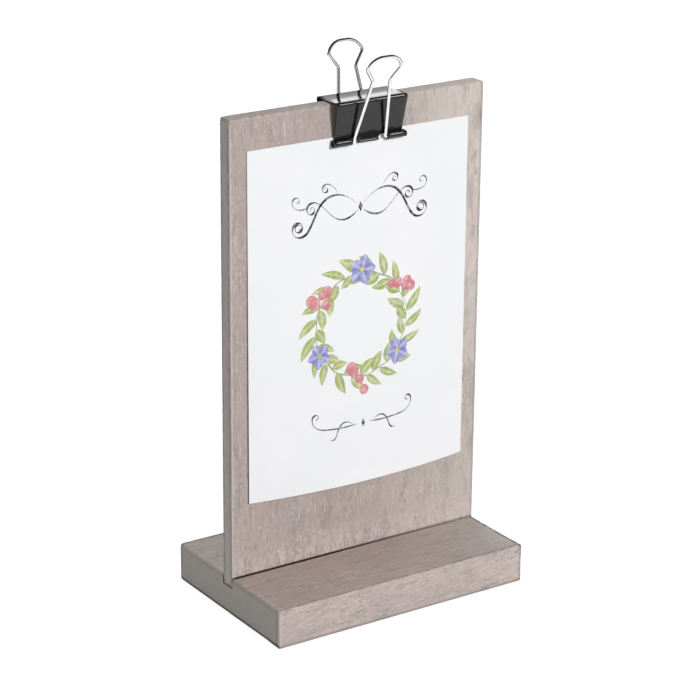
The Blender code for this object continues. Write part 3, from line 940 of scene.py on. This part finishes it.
def paintWreath(finish):
    spec = printSpec
    chance = random.Random(spec["seed"])
    midX, midY = spec["ringMiddle"]

    def onRing(angle, out=0.0):
        radius = spec["ringRadius"] + out
        return midX + radius * math.cos(angle), midY + radius * math.sin(angle)

    stems = InkFilm("stems")
    ring = []
    sway, turn = spec["stemWave"]
    for n in range(spec["ringSteps"] + 1):
        angle = 2 * math.pi * n / spec["ringSteps"]
        ring.append((*onRing(angle, sway * math.sin(n * turn)), angle + math.pi / 2))
    penStroke(stems, ring, *spec["stemLine"], washes["stem"])

    leaves = InkFilm("leaves")
    for n in range(spec["leaves"]):
        for side in (1, -1):
            angle = 2 * math.pi * (n + 0.25 * side) / spec["leaves"] + chance.uniform(-0.04, 0.04)
            heading = angle + math.pi / 2 - side * chance.uniform(0.55, 0.95)
            size = spec["leafLength"] * chance.uniform(0.78, 1.1) * (1.0 if side > 0 else spec["innerLeaf"])
            tone = chance.uniform(0.0, 0.5)
            young = lerp(washes["leafYoung"], washes["leafOld"], tone)
            wide = spec["leafWidth"] * chance.uniform(0.8, 1.15)
            bend = spec["leafBend"] * side
            paintLeaf(leaves, onRing(angle), heading, size, wide, young, washes["leafOld"], bend)

    berries = InkFilm("berries")
    for cluster in spec["berryPlaces"]:
        for _ in range(spec["berries"]):
            angle = cluster + chance.uniform(-0.2, 0.2)
            spot = onRing(angle, chance.uniform(-4.5, 7.5))
            size = spec["berryRadius"] * chance.uniform(0.75, 1.15)
            paintBerry(berries, spot, size, washes["rosePale"], washes["roseDeep"])

    blossoms = InkFilm("blossoms")
    for angle, size in spec["blossoms"]:
        spot = onRing(angle, 1.0)
        turn = chance.uniform(0, 1.2)
        length = spec["petalLength"] * size
        wide, off = length * spec["petalWidth"], spec["petalRoot"]
        pale, deep = washes["bluePale"], washes["blueDeep"]
        for petal in range(spec["petals"]):
            way = turn + 2 * math.pi * petal / spec["petals"]
            root = (spot[0] + off * math.cos(way), spot[1] + off * math.sin(way))
            paintLeaf(blossoms, root, way, length, wide, pale, deep, spec["petalBend"])
        paintBerry(blossoms, spot, spec["heart"] * size, washes["heart"], washes["leafOld"])

    for film in (stems, leaves, berries, blossoms):
        film.lay(finish)


# (start, heading, bends, finest and widest line) of the pen strokes on the right; the left mirrors them
penStrokes = {
    "sweep": (
        (1.6, 143.0), 0.75, [(20, -1, -6), (18, -6, 3), (16, 8, 18), (16, 20, 34), (4, 36, 50)], 0.3, 1.3,
    ),
    "under": ((1.6, 140.0), -0.7, [(12, 2, 8), (16, 6, -5), (14, -10, -30), (6, -34, -56)], 0.3, 1.2),
    "spur": ((13.0, 150.0), 1.1, [(8, -2, -10), (8, -16, -40), (4, -44, -70)], 0.25, 1.0),
    "tail": ((30.0, 145.5), -0.35, [(8, 4, 10), (8, 14, 30), (4, 34, 60)], 0.25, 0.8),
    "rule": ((3.5, 31.0), -0.12, [(18, 1.0, 0.4), (12, 2, 14), (8, 20, 62)], 0.35, 0.95),
    "twig": ((6.0, 31.0), 0.9, [(7, -8, -14), (7, -16, 4), (5, 10, 44)], 0.28, 0.8),
}
penDiamonds = ((141.5, 1.7), (31.0, 1.4))  # height and size


def paintScrolls(finish):
    scrolls = InkFilm("scrolls")
    pen = washes["pen"]
    for start, heading, bends, thin, thick in penStrokes.values():
        for mirror in (False, True):
            penStroke(scrolls, penPath(start, heading, bends), thin, thick, pen, mirror)
    for middle, size in penDiamonds:
        rows = []
        for half, height in ((0.05, middle + size * 1.5), (size * 0.75, middle), (0.05, middle - size * 1.5)):
            rows.append([(-half, height, pen), (half, height, pen)])
        scrolls.patch(rows)
    scrolls.lay(finish)


wash = washFinish()
paintWreath(wash)
paintScrolls(wash)
print("print done")


# spring clip: one bent steel sheet, in two halves that meet along the middle of the spine, in millimetres

clipSpec = {
    "thick": 0.55,
    "bendInside": 1.1,
    "tilt": 8,  # degrees of slope at the spine's ends, which dip to its middle
    "bore": 1.05,
    "curl": 290,  # degrees of the rolled edge
    "spineHalf": 20.1,
    "waistHalf": 19.3,
    "knuckleHalf": 21.0,
    "knuckleInner": 10.2,
    "shoulder": 1.65,  # from the step in the side to the rolled edge
    "notchHalf": 2.05,
    "notchRise": 1.3,
    "notchSteps": 16,
    "notchClear": 0.5,  # from the plate's last slice to the notch
    "lipRoll": 77,  # degrees of the roll that the lip keeps
    "edgeRound": 0.13,
    "sideRound": 1.0,
    "stepRounds": (0.45, 0.35),  # inner and outer corner
    "cornerRound": 0.3,
    "roundSteps": 5,
    "slices": {"spine": 10, "bend": 18, "plate": 14, "roll": 32},
    "cuts": (1.5, 4.3, 8.15, 12.4, 14.9, 17.4),  # slices across, right and left of the middle
    "flexFrom": (-2.5, 1.0),  # out and up from the bend's axis, where the sheet starts to turn with the jaw
    "flexTo": (0.2, -4.0),
    "black": (0.007, 0.007, 0.007, 1),
    "sooty": (0.011, 0.011, 0.0108, 1),
    "bare": (0.11, 0.105, 0.1, 1),
}
wireSpec = {
    "radius": 0.85,
    # half the handle's width there, height above the knuckle, and bend radius
    "bends": {
        "foot": (20.0, 0, 0),
        "ankle": (9.2, 0, 1.3),
        "neck": (4.9, 32.3, 2.0),
        "shoulder": (10.0, 39.6, 2.2),
        "crown": (6.2, 45.0, 8.5),
    },
    "bendSteps": 18,
    "room": 0.25,
    "slack": {"front": 5.6, "rear": 0.6},  # degrees past the touch on the bend
    "sides": 28,
}
clipSides = {"front": -1, "rear": 1}


def clipPlaces(word):
    # bend axis, knuckle axis and the clip's middle
    bend = Vector(joints[word + "_jaw_flex"]["pos_m"]) / mm
    knuckle = Vector(joints[word + "_handle_fold"]["pos_m"]) / mm
    ys = [joints[side + "_jaw_flex"]["pos_m"][1] / mm for side in clipSides]
    return bend, knuckle, sum(ys) / 2


def sheetRoute(word):
    # the sheet's middle line from the spine's middle to the end of the roll, as lines and arcs
    spec = clipSpec
    bend, knuckle, middle = clipPlaces(word)
    bendLine = spec["bendInside"] + spec["thick"] / 2
    rollLine = spec["bore"] + spec["thick"] / 2
    bendOut = abs(bend.y - middle)
    rollOut = abs(knuckle.y - middle)
    out, down = rollOut - bendOut, bend.z - knuckle.z
    plate = math.sqrt(out**2 + down**2 - (bendLine + rollLine) ** 2)
    lean = math.atan2(bendLine + rollLine, plate) - math.atan2(out, down)
    tilt = math.radians(spec["tilt"])
    reach = bendOut - bendLine * math.sin(tilt)
    rise = reach * math.tan(tilt) / 2
    marks = [0.0, reach]
    marks.append(marks[-1] + bendLine * (math.pi / 2 + tilt + lean))
    marks.append(marks[-1] + plate)
    marks.append(marks[-1] + rollLine * math.radians(spec["curl"]))

    def heading(angle):
        return Vector((math.cos(angle), math.sin(angle)))

    def place(run):
        # (out, up) of the middle line and the way its outer face looks
        if run <= marks[1]:
            dip = rise * (1 - (run / reach) ** 2)
            slope = 2 * rise * run / reach**2
            return Vector((run, bend.z + bendLine * math.cos(tilt) - dip)), Vector((-slope, 1)).normalized()
        if run <= marks[2]:
            way = heading(math.pi / 2 + tilt - (run - marks[1]) / bendLine)
            return Vector((bendOut, bend.z)) + way * bendLine, way
        if run <= marks[3]:
            way = heading(-lean)
            along = Vector((way.y, -way.x))
            return Vector((bendOut, bend.z)) + way * bendLine + along * (run - marks[2]), way
        way = heading(math.pi - lean + (run - marks[3]) / rollLine)
        return Vector((rollOut, knuckle.z)) + way * rollLine, -way

    return marks, place


def sheetOutline(marks):
    # the flat cut of half a clip, as (across, run) points
    spec = clipSpec
    rollStart, rollEnd = marks[3], marks[4]
    step = rollStart - spec["shoulder"]
    lip = rollStart + (rollEnd - rollStart) * spec["lipRoll"] / spec["curl"]
    notch, inner = spec["notchHalf"], spec["knuckleInner"]
    archRun = rollStart - spec["notchRise"] + notch
    inCorner, outCorner = spec["stepRounds"]
    side = filleted([
        ((spec["spineHalf"], 0, 0), 0),
        ((spec["spineHalf"], marks[2], 0), spec["sideRound"]),
        ((spec["waistHalf"], step, 0), inCorner),
        ((spec["knuckleHalf"], step, 0), outCorner),
        ((spec["knuckleHalf"], rollEnd, 0), spec["cornerRound"]),
        ((inner, rollEnd, 0), spec["cornerRound"]),
        ((inner, archRun, 0), 0),
    ], spec["roundSteps"])
    middle = inner - notch
    for n in range(1, spec["notchSteps"]):
        angle = math.pi * n / spec["notchSteps"]
        side.append(Vector((middle + notch * math.cos(angle), archRun - notch * math.sin(angle), 0)))
    side += filleted([
        ((middle - notch, archRun, 0), 0),
        ((middle - notch, lip, 0), spec["cornerRound"]),
        ((0, lip, 0), 0),
    ], spec["roundSteps"])[:-1]
    points = [(p.x, p.y) for p in side]
    return points + [(-x, run) for x, run in reversed(points)]


def slicedSheet(marks):
    # the flat cut, sliced into small faces so that it can be bent
    flat = bmesh.new()
    flat.faces.new([flat.verts.new((x, run, 0)) for x, run in sheetOutline(marks)])
    bmesh.ops.remove_doubles(flat, verts=flat.verts, dist=0.001)
    plateEnd = marks[3] - clipSpec["notchRise"] - clipSpec["notchClear"]
    spine, bend, plate, roll = clipSpec["slices"].values()
    runs = [marks[1] * n / spine for n in range(1, spine)]
    runs += [marks[1] + (marks[2] - marks[1]) * n / bend for n in range(bend + 1)]
    runs += [marks[2] + (plateEnd - marks[2]) * n / plate for n in range(1, plate + 1)]
    runs += [marks[3] + (marks[4] - marks[3]) * n / roll for n in range(roll)]
    slices = [((0, run, 0), (0, 1, 0)) for run in runs]
    slices += [((side * x, 0, 0), (1, 0, 0)) for x in clipSpec["cuts"] for side in (-1, 1)]
    for point, way in slices:
        everything = list(flat.verts) + list(flat.edges) + list(flat.faces)
        bmesh.ops.bisect_plane(flat, geom=everything, dist=1e-5, plane_co=point, plane_no=way)
    flat.verts.index_update()
    return flat


def onSeam(vert):
    return vert.co.y < 1e-4


def inwardWays(flat):
    # for each point on the rim, the way into the sheet; nothing along the seam on the spine
    ways = {}
    for edge in flat.edges:
        if not edge.is_boundary or all(onSeam(vert) for vert in edge.verts):
            continue
        along = (edge.verts[1].co - edge.verts[0].co).normalized()
        way = Vector((-along.y, along.x, 0))
        toFace = edge.link_faces[0].calc_center_median() - edge.verts[0].co
        if way.dot(toFace) < 0:
            way = -way
        for vert in edge.verts:
            ways[vert.index] = ways.get(vert.index, Vector()) + way
    return {index: way.normalized() for index, way in ways.items()}


def clipFinish():
    enamel = Finish("clipEnamel")
    cloud = enamel.noise(5, 3.0)
    grit = enamel.noise(0.35, 4.0, 0.7)
    rim = enamel.add("Attribute", attribute_name="rim")["Fac"]
    chipped = enamel.times(enamel.between(rim, 0.8, 1.0), enamel.between(grit, 0.5, 0.62), 0.7)
    colour = enamel.mixed(enamel.between(cloud, 0.4, 0.65), clipSpec["black"], clipSpec["sooty"])
    # painted reflection: less shine just above the roll, standing for the roll's dark mirror image in the
    # plate
    plate = enamel.add("Attribute", attribute_name="plate")["Fac"]
    mirroredRollShade = enamel.calc("ADD", plate, enamel.times(cloud, 0.2))
    return enamel.done({
        "Base Color": enamel.mixed(chipped, colour, clipSpec["bare"]),
        "Roughness": enamel.calc("ADD", enamel.ranged(cloud, 0.03, 0.08), enamel.times(grit, 0.05)),
        "Normal": enamel.bump(enamel.noise(1.3, 2.0), 0.08, 0.05 * mm),
        "Specular IOR Level": enamel.ranged(enamel.between(mirroredRollShade, 0.86, 0.94), 0.5, 0.08),
        "IOR": 1.52,
    })


def makeClipHalf(word, finish):
    facing = clipSides[word]
    bend, _, middle = clipPlaces(word)
    marks, place = sheetRoute(word)
    flat = slicedSheet(marks)
    ways = inwardWays(flat)
    half, soft = clipSpec["thick"] / 2, clipSpec["edgeRound"]
    shape = bmesh.new()
    rimLayer = shape.verts.layers.float.new("rim")
    plateLayer = shape.verts.layers.float.new("plate")

    def bent(x, run, height, rim=0.0):
        line, way = place(run)
        spot = line + way * height
        made = shape.verts.new(Vector((bend.x + x, middle + facing * spot.x, spot.y)) * mm)
        made[rimLayer] = rim
        # how far down the plate, none on the roll
        made[plateLayer] = (run - marks[2]) / (marks[3] - marks[2]) if run < marks[3] + 0.05 else 0.0
        return made

    # rim rows from the upper face round to the lower one
    turns = (0, math.pi / 4, math.pi / 2)
    rows = [(soft * (1 - math.sin(turn)), half - soft * (1 - math.cos(turn))) for turn in turns]
    rows += [(inset, -height) for inset, height in reversed(rows)]
    sheets = ({}, {})
    rims = {}
    for vert in flat.verts:
        if vert.index in ways or onSeam(vert):
            way = ways.get(vert.index, Vector())
            rim = []
            for inset, height in rows:
                spot = vert.co + way * inset
                rim.append(bent(spot.x, max(0.0, spot.y), height, 0.0 if onSeam(vert) else 1.0))
            rims[vert.index] = rim
            sheets[0][vert.index], sheets[1][vert.index] = rim[0], rim[-1]
        else:
            for sheet, height in zip(sheets, (half, -half)):
                sheet[vert.index] = bent(vert.co.x, vert.co.y, height)
    for face in flat.faces:
        for sheet in sheets:
            shape.faces.new([sheet[vert.index] for vert in face.verts])
    for edge in flat.edges:
        if edge.is_boundary:
            joinRows(shape, *(rims[vert.index] for vert in edge.verts))
    flat.free()
    piece = addPiece(word + "ClipHalf", finishMesh(word + "ClipHalf", shape, 50), finish)
    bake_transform(piece)
    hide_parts("clip_spine", "clip_" + word + "_jaw")


def wireFinish():
    nickel = Finish("handleNickel")
    cloud = nickel.noise(4, 3.0)
    drawn = nickel.noise((0.3, 0.3, 3.0), 4.0, 0.7)
    bright, dull = tint(247, 247, 247), tint(232, 231, 230)
    return nickel.done({
        "Base Color": nickel.mixed(nickel.between(cloud, 0.35, 0.7), bright, dull),
        "Roughness": nickel.ranged(drawn, 0.06, 0.2),
        "Metallic": 1.0,
    })


def makeHandle(word, finish):
    spec = wireSpec
    facing = clipSides[word]
    bend, knuckle, middle = clipPlaces(word)
    out = abs(knuckle.y - middle) - abs(bend.y - middle)
    down = bend.z - knuckle.z
    touch = clipSpec["bendInside"] + clipSpec["thick"] + spec["radius"] + spec["room"]
    lean = math.asin(touch / math.hypot(out, down)) - math.atan2(out, down)
    lean += math.radians(spec["slack"][word])
    bends = list(spec["bends"].values())
    left = [((-half, 0, up), radius) for half, up, radius in bends]
    right = [((half, 0, up), radius) for half, up, radius in reversed(bends)]
    path = filleted(left + right, spec["bendSteps"])
    sideways = Vector((0, 1, 0))
    shape = bmesh.new()
    rings = []
    for n, point in enumerate(path):
        before, after = path[max(0, n - 1)], path[min(len(path) - 1, n + 1)]
        across = (after - before).cross(sideways).normalized()
        ring = []
        for k in range(spec["sides"]):
            angle = 2 * math.pi * k / spec["sides"]
            spot = point + (across * math.cos(angle) + sideways * math.sin(angle)) * spec["radius"]
            y = spot.y * math.cos(lean) + spot.z * math.sin(lean)
            z = spot.z * math.cos(lean) - spot.y * math.sin(lean)
            ring.append(shape.verts.new((knuckle + Vector((spot.x, facing * y, z))) * mm))
        rings.append(ring)
    for one, two in zip(rings, rings[1:]):
        joinRows(shape, one, two, closed=True)
    shape.faces.new(rings[0])
    shape.faces.new(rings[-1])
    piece = addPiece(word + "Handle", finishMesh(word + "Handle", shape), finish)
    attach(piece, word + "_handle")
    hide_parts("clip_" + word + "_handle")


enamel = clipFinish()
nickel = wireFinish()
for word in clipSides:
    makeClipHalf(word, enamel)
    makeHandle(word, nickel)
print("clip done")


# floor, light and camera, in metres

lightSpec = {
    "ambient": 0.15,
    "floorHalf": 12.0,
    "floorDrop": 0.2 * mm,
    "floorGlow": 0.94,
    "floorAlbedo": 0.16,
    "floorBounce": 0.45,
    "ceiling": 0.04,  # what metal sees in front and overhead, where the white backdrop ends
    "backdrop": 1.3,  # the lit backdrop, as reflections show it
    "behind": ((0.05, 0.3), (0.62, 0.45)),  # where it starts and is full, by Y and by Z of the way to it
    "ahead": ((-0.1, -0.5), (0.3, 0.2)),
    "aheadShare": 0.3,
    "table": (0.7, 1.5),  # reflections see the floor fade to the dark room between these
    "tableMiddle": (0, -0.7, 0),
    # place, width and height, and the light that reaches a face turned to it
    "softboxes": {
        "keyLight": ((0.75, -3.4, 1.75), (0.7, 0.7), 0.79),
        "backFill": ((0.12, 1.3, 1.6), (0.9, 0.9), 0.56),
        "sideFill": ((-2.6, -0.2, 0.7), (1.0, 1.0), 0.175),
        "rimLight": ((0.95, 1.4, 0.57), (0.9, 0.3), 0.03),
        "sheenLight": ((1.56, -1.76, 2.05), (1.2, 1.2), 0.45),
    },
    "shiny": ("rimLight", "sheenLight"),  # seen in reflections, the second one in the enamel alone
    "aim": (0, 0, 0.13),
}
cameraSpec = {
    "azimuth": -33.774,
    "elevation": 19.946,
    "roll": 0.551,
    "aim": (-1.7 * mm, 0, 125.4 * mm),
    "distance": 1257.5 * mm,
    "lens": 130.98,
    "sensor": 36,
}
white = grey(1.0)


def emptied(owner):
    # the owner's nodes, with none of them left
    nodes = Nodes(owner)
    nodes.tree.nodes.clear()
    return nodes


def seenDirectly(nodes):
    # 1 for what the camera sees, straight or in a reflection
    path = nodes.add("LightPath")
    return nodes.most(path["Is Camera Ray"], path["Is Glossy Ray"], path["Is Transmission Ray"])


def makeFloor():
    spec = lightSpec
    paper = bpy.data.materials.new("floorPaper")
    nodes = emptied(paper)
    plain = nodes.add("BsdfDiffuse", {"Color": grey(spec["floorBounce"])})[0]
    shadowed = nodes.add("BsdfDiffuse", {"Color": grey(spec["floorAlbedo"])})[0]
    away = nodes.vector("DISTANCE", nodes.add("TexCoord")["Object"], spec["tableMiddle"])["Value"]
    near, far = spec["table"]
    lit = nodes.most(nodes.add("LightPath")["Is Camera Ray"], nodes.between(away, far, near))
    glow = nodes.add("Emission", {"Color": white, "Strength": nodes.times(lit, spec["floorGlow"])})[0]
    pale = nodes.add("AddShader", {0: shadowed, 1: glow})[0]
    both = nodes.add("MixShader", {0: seenDirectly(nodes), 1: plain, 2: pale})[0]
    nodes.add("OutputMaterial", {"Surface": both})
    shape = bmesh.new()
    bmesh.ops.create_grid(shape, x_segments=4, y_segments=4, size=spec["floorHalf"])
    floor = addPiece("floor", finishMesh("floor", shape), paper)
    floor.location.z = -spec["floorDrop"]


def makeWorld():
    # a white backdrop behind, a dark room in front and overhead that only reflections show
    spec = lightSpec
    world = bpy.data.worlds.new("studio")
    bpy.context.scene.world = world
    nodes = emptied(world)
    _, y, z = nodes.add("SeparateXYZ", {0: nodes.add("TexCoord")["Generated"]})

    def backdropAt(place):
        return nodes.times(nodes.between(y, *place[0]), nodes.between(z, *place[1]))

    def glowing(strength):
        return nodes.add("Background", {"Color": white, "Strength": strength})[0]

    ahead = nodes.times(backdropAt(spec["ahead"]), spec["aheadShare"])
    backdrop = nodes.most(backdropAt(spec["behind"]), ahead)
    reflected = glowing(nodes.ranged(backdrop, spec["ceiling"], spec["backdrop"]))
    glossy = nodes.add("LightPath")["Is Glossy Ray"]
    shown = nodes.add("MixShader", {0: glossy, 1: glowing(1.0), 2: reflected})[0]
    both = nodes.add("MixShader", {0: seenDirectly(nodes), 1: glowing(spec["ambient"]), 2: shown})[0]
    nodes.add("OutputWorld", {"Surface": both})


def makeLights():
    enamelled = bpy.data.collections.new("enamelled")
    for piece in bpy.data.objects:
        if piece.type == "MESH" and enamel.name in piece.data.materials:
            enamelled.objects.link(piece)
    for name, (place, size, level) in lightSpec["softboxes"].items():
        lamp = bpy.data.lights.new(name, "AREA")
        lamp.shape = "RECTANGLE"
        lamp.size, lamp.size_y = size
        box = addObject(name, lamp)
        box.location = place
        toAim = Vector(lightSpec["aim"]) - Vector(place)
        box.rotation_euler = toAim.to_track_quat("-Z", "Y").to_euler()
        lamp.energy = level * (math.pi * toAim.length) ** 2
        box.visible_camera = False
        box.visible_glossy = name in lightSpec["shiny"]
        if name == "sheenLight":
            box.visible_diffuse = False
            box.light_linking.receiver_collection = enamelled


def makeCamera():
    spec = cameraSpec
    az, el = math.radians(spec["azimuth"]), math.radians(spec["elevation"])
    back = Vector((math.sin(az) * math.cos(el), -math.cos(az) * math.cos(el), math.sin(el)))
    lens = bpy.data.cameras.new("camera")
    lens.lens = spec["lens"]
    lens.sensor_width = spec["sensor"]
    camera = addObject("camera", lens)
    camera.location = Vector(spec["aim"]) + back * spec["distance"]
    turn = back.to_track_quat("Z", "Y").to_matrix().to_4x4()
    turn = turn @ Matrix.Rotation(math.radians(spec["roll"]), 4, "Z")
    camera.rotation_euler = turn.to_euler()
    bpy.context.scene.camera = camera


makeFloor()
makeWorld()
makeLights()
makeCamera()
bpy.context.scene.view_settings.view_transform = "Standard"
print("stage done")
